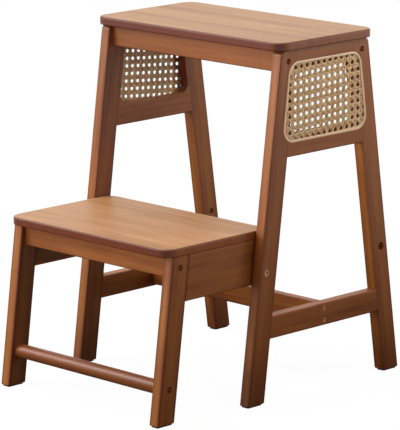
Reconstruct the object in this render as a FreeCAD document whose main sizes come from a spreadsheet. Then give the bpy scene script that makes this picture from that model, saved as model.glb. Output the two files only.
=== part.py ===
"""Two-step bamboo stool with cane side panels and a step unit that flips over into the main frame.

Frame: X to the right, Y to the rear, Z up, in millimetres. The floor is Z = 0 and the origin is the
middle of the footprint. Lengths along Y are first written from the main frame's middle plane.
"""
import FreeCAD, Part
import math
import os
import Sketcher
from FreeCAD import Placement, Rotation, Vector

# Driving dimensions, in millimetres
SIZES = {
    # Main frame
    "seat_height": "500",
    "seat_width": "368",
    "seat_depth": "192",
    "seat_thickness": "12",
    "seat_corner_radius": "20",
    "seat_side_overhang": "6",
    "frame_thickness": "17",
    "leg_spread": "308",
    "leg_top_spread": "174",
    "leg_width": "31",
    "leg_shoulder_radius": "9",
    "panel_height": "148",
    "lower_rail_bottom": "91",
    "lower_rail_height": "32",
    "cross_rail_rise": "3",
    "cross_rail_height": "29",
    "cross_rail_thickness": "15",
    "apron_height": "31",
    "apron_thickness": "15",
    # Cane in the side panels
    "cane_bottom_margin": "19",
    "cane_top_margin": "17",
    "cane_side_margin": "18.3",
    "cane_corner_radius": "20",
    "recess_depth": "3",
    "window_bottom_margin": "30",
    "window_top_margin": "30",
    "window_side_margin": "2.5",
    "window_radius": "14",
    "spline_width": "4.5",
    "spline_rise": "0.8",
    "spline_rounding": "1.6",
    "cane_thickness": "1.6",
    "cane_pitch": "11.35",
    "cane_hole": "6",
    "cane_edge": "0.5",
    "right_cane_column": "-3",
    "left_cane_column": "3.7",
    "cane_row_rise": "49",
    # Step unit
    "step_height": "242",
    "step_reach": "308",
    "step_leg_lean": "33",
    "step_leg_width": "31.5",
    "step_thickness": "17",
    "tread_depth": "196",
    "tread_thickness": "12",
    "tread_overhang": "11.5",
    "tread_corner_radius": "20",
    "tread_side_gap": "1",
    "step_rail_height": "63.5",
    "step_rail_tail": "20",
    "step_rail_tail_radius": "15",
    "step_apron_height": "31",
    "step_apron_thickness": "15",
    "rung_height": "50",
    "rung_diameter": "20",
    # Pivot
    "pivot_rise": "18.5",
    "pivot_edge_distance": "13.1",
    "pivot_head_diameter": "10",
    "pivot_head_height": "5",
    "pivot_head_depth": "1",
    "pivot_shoulder_diameter": "8",
    "pivot_thread_diameter": "6",
    "pivot_thread_length": "10",
    "pivot_key": "5",
    "pivot_key_depth": "2.5",
    "pivot_head_gap": "0.5",
    "pivot_seat_gap": "0.2",
    "running_clearance": "0.08",
    "washer_thickness": "2",
    "washer_diameter": "18",
    "insert_diameter": "10",
    "insert_length": "11",
    # Screws and dowels
    "screw_head_diameter": "8",
    "screw_head_height": "4",
    "screw_shank_diameter": "5",
    "screw_length": "45",
    "screw_tip": "4",
    "screw_key": "4",
    "screw_key_depth": "2.5",
    "deep_screw_depth": "5",
    "flush_screw_depth": "0.6",
    "cross_screw_spacing": "17.3",
    "seat_screw_spacing": "180",
    "tread_screw_spacing": "160",
    "board_screw_length": "24",
    "board_screw_bite": "8",
    "dowel_diameter": "6",
    "dowel_in_leg": "10",
    "dowel_in_rail": "14",
    "dowel_in_board": "7",
    "lower_dowel_spacing": "15",
    "step_dowel_rise": "20.5",
    "step_dowel_spacing": "20",
    "seat_dowel_spacing": "50",
    "tread_dowel_spacing": "80",
    "fit_clearance": "0.1",
    "head_clearance": "0.2",
    # Feet and eased edges
    "pad_thickness": "2",
    "pad_inset": "2",
    "pad_radius": "2",
    "foot_chamfer": "0.8",
    "board_edge_radius": "3",
    "board_under_radius": "1.5",
    "edge_radius": "2",
    "joint_edge_radius": "1.5",
}
TOOL_OVERSHOOT = 5
TOUCH = 0.001
FRONT, REAR = -1, 1
LEFT, RIGHT = -1, 1
DOWN, UP = -1, 1
SIDES = {"left": LEFT, "right": RIGHT}
ENDS = {"front": FRONT, "rear": REAR}

doc = FreeCAD.newDocument("two_step_stool")
sheet = doc.addObject("Spreadsheet::Sheet", "sizes")
for row, (alias, text) in enumerate(SIZES.items(), start=1):
    sheet.set(f"A{row}", alias)
    sheet.set(f"B{row}", text)
    sheet.setAlias(f"B{row}", alias)
doc.recompute()

# Levels and planes that several pieces share, as expressions on the sheet
FRAME_TOP = "(sizes.seat_height - sizes.seat_thickness)"
PANEL_BOTTOM = f"({FRAME_TOP} - sizes.panel_height)"
CANE_BOTTOM = f"({PANEL_BOTTOM} + sizes.cane_bottom_margin)"
CANE_TOP = f"({FRAME_TOP} - sizes.cane_top_margin)"
WINDOW_BOTTOM = f"({PANEL_BOTTOM} + sizes.window_bottom_margin)"
WINDOW_TOP = f"({FRAME_TOP} - sizes.window_top_margin)"
FRAME_OUTER = "(sizes.seat_width / 2 - sizes.seat_side_overhang)"
FRAME_INNER = f"({FRAME_OUTER} - sizes.frame_thickness)"
FRAME_MIDDLE = f"({FRAME_OUTER} - sizes.frame_thickness / 2)"
RECESS_FLOOR = f"({FRAME_OUTER} - sizes.recess_depth)"
STEP_OUTER = f"({FRAME_INNER} - sizes.washer_thickness)"
STEP_INNER = f"({STEP_OUTER} - sizes.step_thickness)"
STEP_MIDDLE = f"({STEP_OUTER} - sizes.step_thickness / 2)"
TREAD_UNDER = "(sizes.step_height - sizes.tread_thickness)"
STEP_RAIL_BOTTOM = f"({TREAD_UNDER} - sizes.step_rail_height)"
PIVOT_HEIGHT = f"({STEP_RAIL_BOTTOM} + sizes.pivot_rise)"
APRON_MIDDLE = f"({FRAME_TOP} - sizes.apron_height / 2)"
STEP_APRON_MIDDLE = f"({TREAD_UNDER} - sizes.step_apron_height / 2)"
LOWER_RAIL_MIDDLE = "(sizes.lower_rail_bottom + sizes.lower_rail_height / 2)"
CROSS_RAIL_BOTTOM = "(sizes.lower_rail_bottom + sizes.cross_rail_rise)"
CENTRE_SHIFT = "((sizes.step_reach - sizes.leg_spread / 2) / 2)"
DOWEL_HOLE = "(sizes.dowel_diameter + 2 * sizes.fit_clearance)"
SCREW_HOLE = "(sizes.screw_shank_diameter + 2 * sizes.fit_clearance)"
SCREW_BORE = "(sizes.screw_head_diameter + 2 * sizes.head_clearance)"
PIVOT_BORE_DEPTH = "(sizes.pivot_head_depth + sizes.pivot_head_height + sizes.pivot_seat_gap)"
BOARD_DOWEL_DEPTH = "(sizes.dowel_in_board + sizes.fit_clearance)"
BOARD_SCREW_DEPTH = "(sizes.board_screw_bite + sizes.fit_clearance)"
RAIL_DOWEL_DEPTH = "(sizes.dowel_in_rail + sizes.fit_clearance)"
DOWEL_LENGTH = "(sizes.dowel_in_leg + sizes.dowel_in_rail)"
DOWEL_DEPTH = f"({DOWEL_LENGTH} + 2 * sizes.fit_clearance)"


def number(expression):
    """The value of an expression on the sheet."""
    return float(sheet.evalExpression(expression))


def leg_edge(height, end):
    """Y of a main leg's outward edge at a height, at the front or the rear end."""
    lean = "(sizes.leg_spread - sizes.leg_top_spread) / 2"
    return f"{end} * (sizes.leg_spread / 2 - {lean} * {height} / {FRAME_TOP})"


def leg_joint(height, end):
    """Y of the leg's other edge, which the side panel and the lower rail butt against."""
    return f"({leg_edge(height, end)} - {end} * sizes.leg_width)"


def leg_centre(height, end):
    """Y of the leg's middle line at a height."""
    return f"({leg_edge(height, end)} - {end} * sizes.leg_width / 2)"


def step_leg_edge(height):
    """Y of a step leg's front edge at a height."""
    return f"(-sizes.step_reach + sizes.step_leg_lean * {height} / sizes.step_height)"


def step_leg_joint(height):
    """Y of a step leg's rear edge, which the step rail butts against."""
    return f"({step_leg_edge(height)} + sizes.step_leg_width)"


def step_leg_centre(height):
    """Y of a step leg's middle line at a height."""
    return f"({step_leg_edge(height)} + sizes.step_leg_width / 2)"


def pair_about(middle, spacing):
    """Two values at a spacing, half to each side of a middle."""
    return [f"({middle} + {end} * {spacing} / 2)" for end in ENDS.values()]


TREAD_FRONT = f"({step_leg_edge(TREAD_UNDER)} - sizes.tread_overhang)"
TREAD_CENTRE = f"({TREAD_FRONT} + sizes.tread_depth / 2)"
PIVOT_OFFSET = f"({leg_edge(PIVOT_HEIGHT, REAR)} - sizes.pivot_edge_distance)"
PIVOT_SPOT = (f"{FRONT} * {PIVOT_OFFSET}", PIVOT_HEIGHT)
STEP_RAIL_END = f"({PIVOT_SPOT[0]} + sizes.step_rail_tail)"
STEP_RAIL_CENTRE = f"(({step_leg_joint(TREAD_UNDER)} + {STEP_RAIL_END}) / 2)"
CROSS_SCREW_LEVELS = pair_about(LOWER_RAIL_MIDDLE, "sizes.cross_screw_spacing")
PANEL_DOWEL_LEVELS = [f"(({PANEL_BOTTOM} + {WINDOW_BOTTOM}) / 2)", f"(({WINDOW_TOP} + {FRAME_TOP}) / 2)"]
LOWER_DOWEL_LEVELS = pair_about(LOWER_RAIL_MIDDLE, "sizes.lower_dowel_spacing")
STEP_DOWEL_LEVELS = pair_about(f"({STEP_RAIL_BOTTOM} + sizes.step_dowel_rise)", "sizes.step_dowel_spacing")


# Small modelling steps that every piece uses
def new_body(name):
    """A body whose own origin is the main frame's middle, moved to the part's frame."""
    body = doc.addObject("PartDesign::Body", name)
    body.Label = name
    body.setExpression("Placement.Base.y", CENTRE_SHIFT)
    return body


def new_template(name):
    """A body that stays at the origin and is copied into a group of like pieces."""
    body = doc.addObject("PartDesign::Body", name)
    body.Label = name
    return body


def sketch_on(body, role, offset="0"):
    """A sketch on one of the body's origin planes, moved along the plane's normal."""
    sketch = body.newObject("Sketcher::SketchObject", f"{body.Name}_sketch")
    plane = next(item for item in body.Origin.OriginFeatures if item.Role == role)
    sketch.AttachmentSupport = [(plane, "")]
    sketch.MapMode = "FlatFace"
    sketch.setExpression("AttachmentOffset.Base.z", offset)
    return sketch


def tie(sketch, element, point, place):
    """Ties a sketch point to a pair of expressions, measured from the sketch's origin."""
    for kind, axis, expression in (("DistanceX", -2, place[0]), ("DistanceY", -1, place[1])):
        if expression == "0":
            sketch.addConstraint(Sketcher.Constraint("PointOnObject", element, point, axis))
            continue
        index = sketch.addConstraint(Sketcher.Constraint(kind, -1, 1, element, point, number(expression)))
        sketch.setExpression(f"Constraints[{index}]", expression)


def polygon(sketch, corners):
    """Closed straight lines through corners that are pairs of expressions."""
    points = [Vector(number(across), number(up), 0) for across, up in corners]
    following = points[1:] + points[:1]
    lines = [sketch.addGeometry(Part.LineSegment(*ends)) for ends in zip(points, following)]
    for index, line in enumerate(lines):
        sketch.addConstraint(Sketcher.Constraint("Coincident", lines[index - 1], 2, line, 1))
        tie(sketch, line, 1, corners[index])


def circles(sketch, centres, diameter):
    """Circles of one diameter at centres that are pairs of expressions."""
    for across, up in centres:
        centre = Vector(number(across), number(up), 0)
        ring = sketch.addGeometry(Part.Circle(centre, Vector(0, 0, 1), number(diameter) / 2))
        tie(sketch, ring, 3, (across, up))
        index = sketch.addConstraint(Sketcher.Constraint("Diameter", ring, number(diameter)))
        sketch.setExpression(f"Constraints[{index}]", diameter)


def pad(body, sketch, length, reverse=False, midplane=False):
    """Pads a sketch along its normal, or against it, or to both sides."""
    feature = body.newObject("PartDesign::Pad", f"{body.Name}_pad")
    feature.Profile = sketch
    feature.setExpression("Length", length)
    feature.Reversed = reverse
    feature.Midplane = midplane
    doc.recompute()


def pocket(body, sketch, length, reverse=False):
    """Cuts a sketch against its normal, or along it, and makes sure that it removed something."""
    before = body.Shape.Volume
    feature = body.newObject("PartDesign::Pocket", f"{body.Name}_pocket")
    feature.Profile = sketch
    feature.setExpression("Length", length)
    feature.Reversed = reverse
    doc.recompute()
    if body.Shape.Volume >= before:
        raise ValueError(f"{body.Label}: a pocket cuts nothing")


def drill_across(body, side, start, depth, centres, diameter):
    """Blind holes along X that start at a plane of one side and go inwards."""
    sketch = sketch_on(body, "YZ_Plane", f"{side} * {start}")
    circles(sketch, centres, diameter)
    pocket(body, sketch, depth, reverse=side == LEFT)


def drill_along(body, start, depth, centres, diameter):
    """Blind holes along Y that start at a plane and go rearwards."""
    sketch = sketch_on(body, "XZ_Plane", f"-({start})")
    circles(sketch, centres, diameter)
    pocket(body, sketch, depth)


def drill_up(body, start, depth, centres, diameter):
    """Blind holes along Z that start at a level and go upwards."""
    sketch = sketch_on(body, "XY_Plane", start)
    circles(sketch, centres, diameter)
    pocket(body, sketch, depth, reverse=True)


def edges_where(body, test):
    """Names of the body's edges whose middle point and direction pass a test."""
    names = []
    for index, edge in enumerate(body.Shape.Edges, start=1):
        middle = edge.valueAt((edge.FirstParameter + edge.LastParameter) / 2) - body.Placement.Base
        run = edge.valueAt(edge.LastParameter) - edge.valueAt(edge.FirstParameter)
        if test(middle, run):
            names.append(f"Edge{index}")
    return names


def dress(body, kind, names, size_name, size):
    """Fillets or chamfers the named edges of the body's last feature."""
    base = body.Tip
    feature = body.newObject(f"PartDesign::{kind}", f"{body.Name}_{kind.lower()}")
    feature.Base = (base, names)
    feature.setExpression(size_name, size)
    doc.recompute()


def round_edges(body, test, radius):
    """Fillets the edges that pass a test."""
    dress(body, "Fillet", edges_where(body, test), "Radius", radius)


def near(value, target):
    """Whether two lengths are the same for picking edges."""
    return abs(value - target) < TOUCH


def along_x(run):
    """Whether an edge runs straight along X."""
    return abs(run.y) < TOUCH and abs(run.z) < TOUCH and abs(run.x) > TOUCH


def level(run):
    """Whether an edge stays at one height."""
    return abs(run.z) < TOUCH


def group(name, body, placements):
    """One node of separate like solids: a copy of the body at each placement."""
    shift = Placement(Vector(0, number(CENTRE_SHIFT), 0), Rotation())
    feature = doc.addObject("Part::Feature", name)
    feature.Label = name
    copies = [body.Shape.transformed((shift * spot).toMatrix()) for spot in placements]
    feature.Shape = Part.makeCompound(copies)
    return feature


def facing(x, y, z, direction):
    """A placement that turns a template's Z axis to a direction, at a point given by expressions."""
    place = Vector(number(x), number(y), number(z))
    return Placement(place, Rotation(Vector(0, 0, 1), Vector(*direction)))


# Boards
def board(name, width, depth, thickness, corner, centre, underside):
    """A board with rounded corners, a well eased top edge and a lightly eased lower edge."""
    body = new_body(name)
    sketch = sketch_on(body, "XY_Plane", underside)
    front, rear = f"({centre} - {depth} / 2)", f"({centre} + {depth} / 2)"
    left, right = f"(-{width} / 2)", f"({width} / 2)"
    polygon(sketch, [(left, front), (right, front), (right, rear), (left, rear)])
    pad(body, sketch, thickness)
    round_edges(body, lambda middle, run: not level(run), corner)
    bottom, top = number(underside), number(f"{underside} + {thickness}")
    round_edges(body, lambda middle, run: near(middle.z, top), "sizes.board_edge_radius")
    round_edges(body, lambda middle, run: near(middle.z, bottom), "sizes.board_under_radius")
    return body


def seat_board():
    """The seat, with blind holes underneath for its dowels and screws."""
    body = board("seat_board", "sizes.seat_width", "sizes.seat_depth", "sizes.seat_thickness",
                 "sizes.seat_corner_radius", "0", FRAME_TOP)
    drill_up(body, FRAME_TOP, BOARD_DOWEL_DEPTH, seat_dowel_spots(), DOWEL_HOLE)
    drill_up(body, FRAME_TOP, BOARD_SCREW_DEPTH, seat_screw_spots(), SCREW_HOLE)
    return body


def seat_dowel_spots():
    """X and Y of the dowels between the side panels and the seat."""
    return [(f"{side} * {FRAME_MIDDLE}", f"{end} * sizes.seat_dowel_spacing / 2")
            for side in SIDES.values() for end in ENDS.values()]


def seat_screw_spots():
    """X and Y of the screws that go up through the aprons into the seat."""
    return [(f"{side} * sizes.seat_screw_spacing / 2", leg_centre(APRON_MIDDLE, end))
            for side in SIDES.values() for end in ENDS.values()]


def tread_screw_spots():
    """X and Y of the screws that go up through the step's apron into the tread."""
    return [(f"{side} * sizes.tread_screw_spacing / 2", step_leg_centre(STEP_APRON_MIDDLE))
            for side in SIDES.values()]


def tread_dowel_spots():
    """X and Y of the dowels between the step rails and the tread."""
    return [(f"{side} * {STEP_MIDDLE}", f"({STEP_RAIL_CENTRE} + {end} * sizes.tread_dowel_spacing / 2)")
            for side in SIDES.values() for end in ENDS.values()]


def step_tread():
    """The step's tread, with blind holes underneath for its dowels and screws."""
    width = f"(2 * ({FRAME_INNER} - sizes.tread_side_gap))"
    body = board("step_tread", width, "sizes.tread_depth", "sizes.tread_thickness",
                 "sizes.tread_corner_radius", TREAD_CENTRE, TREAD_UNDER)
    drill_up(body, TREAD_UNDER, BOARD_DOWEL_DEPTH, tread_dowel_spots(), DOWEL_HOLE)
    drill_up(body, TREAD_UNDER, BOARD_SCREW_DEPTH, tread_screw_spots(), SCREW_HOLE)
    return body


# Bars that run across, from one side frame to the other
def cross_bar(name, half_length, centre, thickness, bottom, height, screw_levels):
    """A bar along X with eased edges and a pilot hole for each screw in both ends."""
    body = new_body(name)
    sketch = sketch_on(body, "YZ_Plane")
    front, rear = f"({centre} - {thickness} / 2)", f"({centre} + {thickness} / 2)"
    top = f"({bottom} + {height})"
    polygon(sketch, [(front, bottom), (rear, bottom), (rear, top), (front, top)])
    pad(body, sketch, f"2 * {half_length}", midplane=True)
    round_edges(body, lambda middle, run: along_x(run), "sizes.edge_radius")
    for side in SIDES.values():
        drill_across(body, side, half_length, "sizes.screw_length",
                     [(centre, screw_level) for screw_level in screw_levels], SCREW_HOLE)
    return body


def screw_up_through(body, bottom, height, spots):
    """Counterbored holes up through a bar for the screws that hold a board down."""
    head_seat = f"({height} + sizes.board_screw_bite - sizes.board_screw_length + sizes.screw_head_height)"
    drill_up(body, bottom, head_seat, spots, SCREW_BORE)
    drill_up(body, bottom, height, spots, SCREW_HOLE)


def seat_apron(end_name):
    """The bar under the seat's front or rear edge, screwed to the legs and to the seat."""
    end = ENDS[end_name]
    centre = leg_centre(APRON_MIDDLE, end)
    bottom = f"({FRAME_TOP} - sizes.apron_height)"
    body = cross_bar(f"seat_{end_name}_apron", FRAME_INNER, centre, "sizes.apron_thickness",
                     bottom, "sizes.apron_height", [APRON_MIDDLE])
    spots = [spot for spot in seat_screw_spots() if near(number(spot[1]), number(centre))]
    screw_up_through(body, bottom, "sizes.apron_height", spots)
    return body


def step_front_apron():
    """The bar under the tread's front edge, screwed to the step legs and to the tread."""
    bottom = f"({TREAD_UNDER} - sizes.step_apron_height)"
    body = cross_bar("step_front_apron", STEP_INNER, step_leg_centre(STEP_APRON_MIDDLE),
                     "sizes.step_apron_thickness", bottom, "sizes.step_apron_height", [STEP_APRON_MIDDLE])
    screw_up_through(body, bottom, "sizes.step_apron_height", tread_screw_spots())
    return body


def cross_rail():
    """The bar between the two lower rails, on which the stowed tread comes to rest."""
    return cross_bar("cross_rail", FRAME_INNER, "0", "sizes.cross_rail_thickness",
                     CROSS_RAIL_BOTTOM, "sizes.cross_rail_height", CROSS_SCREW_LEVELS)


def step_rung():
    """The round rung between the step legs."""
    body = new_body("step_rung")
    sketch = sketch_on(body, "YZ_Plane")
    centre = (step_leg_centre("sizes.rung_height"), "sizes.rung_height")
    circles(sketch, [centre], "sizes.rung_diameter")
    pad(body, sketch, f"2 * {STEP_INNER}", midplane=True)
    for side in SIDES.values():
        drill_across(body, side, STEP_INNER, "sizes.screw_length", [centre], SCREW_HOLE)
    return body


# Flat pieces of the side frames
def flat_piece(name, side, inner, thickness, corners):
    """A flat piece with an outline in the YZ plane, from the side's inner face outwards."""
    body = new_body(name)
    sketch = sketch_on(body, "YZ_Plane", f"{side} * {inner}")
    polygon(sketch, corners)
    pad(body, sketch, thickness, reverse=side == LEFT)
    return body


def screw_across(body, side, outer, thickness, spots, bore_depth):
    """Counterbored holes through a flat piece for screws whose heads sit below its outer face."""
    depth = f"({bore_depth} + sizes.screw_head_height)"
    drill_across(body, side, outer, depth, spots, SCREW_BORE)
    drill_across(body, side, outer, thickness, spots, SCREW_HOLE)


def dowel_hole(side, middle, joint, height, end):
    """Centre of a dowel hole in the XZ plane and the Y at which it starts; the leg is at that end."""
    reach = "sizes.dowel_in_leg" if end == FRONT else "sizes.dowel_in_rail"
    start = f"({joint} - {reach} - sizes.fit_clearance)"
    return (f"{side} * {middle}", height), start


def drill_dowels(body, side, middle, joint, levels, end):
    """Dowel holes along Y across the joint between a leg and the piece that butts against it."""
    for height in levels:
        spot, start = dowel_hole(side, middle, joint(height), height, end)
        drill_along(body, start, DOWEL_DEPTH, [spot], DOWEL_HOLE)


def cane_outline(inset):
    """Corners of the cane's outline in the YZ plane, drawn in by an inset on every edge."""
    bottom, top = f"({CANE_BOTTOM} + {inset})", f"({CANE_TOP} - {inset})"
    corners = []
    for height, ends in ((bottom, (FRONT, REAR)), (top, (REAR, FRONT))):
        for end in ends:
            margin = f"{end} * (sizes.cane_side_margin + {inset})"
            corners.append((f"({leg_edge(height, end)} - {margin})", height))
    return corners


def rounded_prism(name, side, start, length, corners, radius):
    """A prism along X with a four-sided outline and rounded corners."""
    body = flat_piece(name, side, start, length, corners)
    round_edges(body, lambda middle, run: along_x(run), radius)
    return body


def cane_recess(side_name):
    """The space that is sunk into the outer face of a side frame for the cane."""
    depth = f"(sizes.recess_depth + {TOOL_OVERSHOOT})"
    return rounded_prism(f"{side_name}_recess", SIDES[side_name], RECESS_FLOOR, depth,
                         cane_outline("0"), "sizes.cane_corner_radius")


def cane_window(side_name):
    """The space behind the cane, right through the side panel."""
    corners = []
    for height, ends in ((WINDOW_BOTTOM, (FRONT, REAR)), (WINDOW_TOP, (REAR, FRONT))):
        for end in ends:
            corners.append((f"({leg_joint(height, end)} - {end} * sizes.window_side_margin)", height))
    return rounded_prism(f"{side_name}_window", SIDES[side_name], f"({FRAME_INNER} - {TOOL_OVERSHOOT})",
                         f"(sizes.frame_thickness + 2 * {TOOL_OVERSHOOT})", corners, "sizes.window_radius")


def cut_from(name, body, tools):
    """A finished piece: a body with the shapes of the tools taken out of it."""
    cut = body
    for tool in tools:
        base, cut = cut, doc.addObject("Part::Cut", f"{name}_cut")
        cut.Base = base
        cut.Tool = tool
    cut.Label = name
    doc.recompute()
    return cut


def main_leg(side_name, end_name, recess):
    """A leaning main leg with its pivot hole, screw hole, dowel holes and part of the cane recess."""
    side, end = SIDES[side_name], ENDS[end_name]
    name = f"{side_name}_{end_name}_leg"
    foot = "sizes.pad_thickness"
    body = flat_piece(f"{name}_blank", side, FRAME_INNER, "sizes.frame_thickness", [
        (leg_edge(foot, end), foot), (leg_joint(foot, end), foot),
        (leg_joint(FRAME_TOP, end), FRAME_TOP), (leg_edge(FRAME_TOP, end), FRAME_TOP)])
    top, bottom = number(FRAME_TOP), number(foot)
    shoulder = number(leg_edge(FRAME_TOP, end))
    round_edges(body, lambda middle, run: along_x(run) and near(middle.z, top) and near(middle.y, shoulder),
                "sizes.leg_shoulder_radius")

    def outward(middle):
        return abs(middle.y) > abs(number(leg_centre(str(middle.z), end)))

    round_edges(body, lambda middle, run: not level(run) and not along_x(run) and outward(middle),
                "sizes.edge_radius")
    foot_face = [f"Face{index}" for index, face in enumerate(body.Shape.Faces, start=1)
                 if near(face.BoundBox.ZMax, bottom)]
    dress(body, "Chamfer", foot_face, "Size", "sizes.foot_chamfer")
    pivot = [(f"{end} * {PIVOT_OFFSET}", PIVOT_HEIGHT)]
    head_bore = "(sizes.pivot_head_diameter + 2 * sizes.pivot_head_gap)"
    shoulder_bore = "(sizes.pivot_shoulder_diameter + 2 * sizes.running_clearance)"
    drill_across(body, side, FRAME_OUTER, PIVOT_BORE_DEPTH, pivot, head_bore)
    drill_across(body, side, FRAME_OUTER, "sizes.frame_thickness", pivot, shoulder_bore)
    screw_across(body, side, FRAME_OUTER, "sizes.frame_thickness",
                 [(leg_centre(APRON_MIDDLE, end), APRON_MIDDLE)], "sizes.deep_screw_depth")
    drill_dowels(body, side, FRAME_MIDDLE, lambda height: leg_joint(height, end),
                 PANEL_DOWEL_LEVELS + LOWER_DOWEL_LEVELS, end)
    return cut_from(name, body, [recess])


def side_panel(side_name, recess, window):
    """The board between the tops of two legs, with the cane's recess and the window behind it."""
    side = SIDES[side_name]
    name = f"{side_name}_side_panel"
    body = flat_piece(f"{name}_blank", side, FRAME_INNER, "sizes.frame_thickness", [
        (leg_joint(PANEL_BOTTOM, FRONT), PANEL_BOTTOM), (leg_joint(PANEL_BOTTOM, REAR), PANEL_BOTTOM),
        (leg_joint(FRAME_TOP, REAR), FRAME_TOP), (leg_joint(FRAME_TOP, FRONT), FRAME_TOP)])
    lowest = number(PANEL_BOTTOM)
    round_edges(body, lambda middle, run: level(run) and not along_x(run) and near(middle.z, lowest),
                "sizes.edge_radius")
    for end in ENDS.values():
        drill_dowels(body, side, FRAME_MIDDLE, lambda height: leg_joint(height, end),
                     PANEL_DOWEL_LEVELS, end)
    spots = [spot for spot in seat_dowel_spots() if number(spot[0]) * side > 0]
    drill_up(body, f"({FRAME_TOP} - {RAIL_DOWEL_DEPTH})", RAIL_DOWEL_DEPTH, spots, DOWEL_HOLE)
    return cut_from(name, body, [recess, window])


def lower_rail(side_name):
    """The rail between a front and a rear leg that carries one end of the cross rail."""
    side = SIDES[side_name]
    bottom = "sizes.lower_rail_bottom"
    top = "(sizes.lower_rail_bottom + sizes.lower_rail_height)"
    body = flat_piece(f"{side_name}_lower_rail", side, FRAME_INNER, "sizes.frame_thickness", [
        (leg_joint(bottom, FRONT), bottom), (leg_joint(bottom, REAR), bottom),
        (leg_joint(top, REAR), top), (leg_joint(top, FRONT), top)])
    round_edges(body, lambda middle, run: level(run) and not along_x(run), "sizes.edge_radius")
    for end in ENDS.values():
        drill_dowels(body, side, FRAME_MIDDLE, lambda height: leg_joint(height, end),
                     LOWER_DOWEL_LEVELS, end)
    screw_across(body, side, FRAME_OUTER, "sizes.frame_thickness",
                 [("0", height) for height in CROSS_SCREW_LEVELS], "sizes.flush_screw_depth")
    return body


def step_leg(side_name):
    """A leaning step leg with its screw holes and dowel holes."""
    side = SIDES[side_name]
    foot = "sizes.pad_thickness"
    body = flat_piece(f"{side_name}_step_leg", side, STEP_INNER, "sizes.step_thickness", [
        (step_leg_edge(foot), foot), (step_leg_joint(foot), foot),
        (step_leg_joint(TREAD_UNDER), TREAD_UNDER), (step_leg_edge(TREAD_UNDER), TREAD_UNDER)])
    bottom = number(foot)

    def forward(middle):
        return middle.y < number(step_leg_centre(str(middle.z)))

    round_edges(body, lambda middle, run: not level(run) and forward(middle), "sizes.edge_radius")
    round_edges(body, lambda middle, run: not level(run) and not forward(middle), "sizes.joint_edge_radius")
    foot_face = [f"Face{index}" for index, face in enumerate(body.Shape.Faces, start=1)
                 if near(face.BoundBox.ZMax, bottom)]
    dress(body, "Chamfer", foot_face, "Size", "sizes.foot_chamfer")
    screw_across(body, side, STEP_OUTER, "sizes.step_thickness", step_screw_spots(),
                 "sizes.deep_screw_depth")
    drill_dowels(body, side, STEP_MIDDLE, step_leg_joint, STEP_DOWEL_LEVELS, FRONT)
    return body


def step_screw_spots():
    """Y and Z of the screws through a step leg: into the apron and into the rung."""
    return [(step_leg_centre(STEP_APRON_MIDDLE), STEP_APRON_MIDDLE),
            (step_leg_centre("sizes.rung_height"), "sizes.rung_height")]


def step_rail(side_name):
    """The deep rail under the tread that runs back past the pivot."""
    side = SIDES[side_name]
    body = flat_piece(f"{side_name}_step_rail", side, STEP_INNER, "sizes.step_thickness", [
        (step_leg_joint(STEP_RAIL_BOTTOM), STEP_RAIL_BOTTOM), (STEP_RAIL_END, STEP_RAIL_BOTTOM),
        (STEP_RAIL_END, TREAD_UNDER), (step_leg_joint(TREAD_UNDER), TREAD_UNDER)])
    bottom, tail = number(STEP_RAIL_BOTTOM), number(STEP_RAIL_END)
    round_edges(body, lambda middle, run: along_x(run) and near(middle.y, tail) and near(middle.z, bottom),
                "sizes.step_rail_tail_radius")
    round_edges(body, lambda middle, run: level(run) and not along_x(run) and near(middle.z, bottom),
                "sizes.edge_radius")
    insert_hole = "(sizes.insert_diameter + 2 * sizes.fit_clearance)"
    insert_depth = "(sizes.insert_length + sizes.fit_clearance)"
    drill_across(body, side, STEP_OUTER, insert_depth, [PIVOT_SPOT], insert_hole)
    drill_dowels(body, side, STEP_MIDDLE, step_leg_joint, STEP_DOWEL_LEVELS, FRONT)
    spots = [spot for spot in tread_dowel_spots() if number(spot[0]) * side > 0]
    drill_up(body, f"({TREAD_UNDER} - {RAIL_DOWEL_DEPTH})", RAIL_DOWEL_DEPTH, spots, DOWEL_HOLE)
    return body


# Cane and its border
def on_corner(middle, inset):
    """Whether a point is at a corner of the cane's outline, drawn in by an inset."""
    corners = [(number(across), number(up)) for across, up in cane_outline(inset)]
    return any(near(middle.y, across) and near(middle.z, up) for across, up in corners)


def cane_spline(side_name):
    """The rattan spline that closes the edge of the cane, a ring with rounded corners."""
    side = SIDES[side_name]
    body = new_body(f"{side_name}_cane_spline")
    sketch = sketch_on(body, "YZ_Plane", f"{side} * {RECESS_FLOOR}")
    polygon(sketch, cane_outline("sizes.fit_clearance"))
    polygon(sketch, cane_outline("sizes.spline_width"))
    pad(body, sketch, "(sizes.recess_depth + sizes.spline_rise)", reverse=side == LEFT)
    for inset in ("sizes.fit_clearance", "sizes.spline_width"):
        round_edges(body, lambda middle, run: along_x(run) and on_corner(middle, inset),
                    f"(sizes.cane_corner_radius - {inset})")
    face = number(f"{side} * ({FRAME_OUTER} + sizes.spline_rise)")
    round_edges(body, lambda middle, run: near(middle.x, face), "sizes.spline_rounding")
    return body


def octagon(centre, reach):
    """A closed wire round one opening of the webbing, with flats parallel to the weave."""
    turns = [math.pi / 8 + index * math.pi / 4 for index in range(8)]
    points = [centre + Vector(0, reach * math.cos(turn), reach * math.sin(turn)) for turn in turns]
    return Part.makePolygon(points + points[:1])


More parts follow.
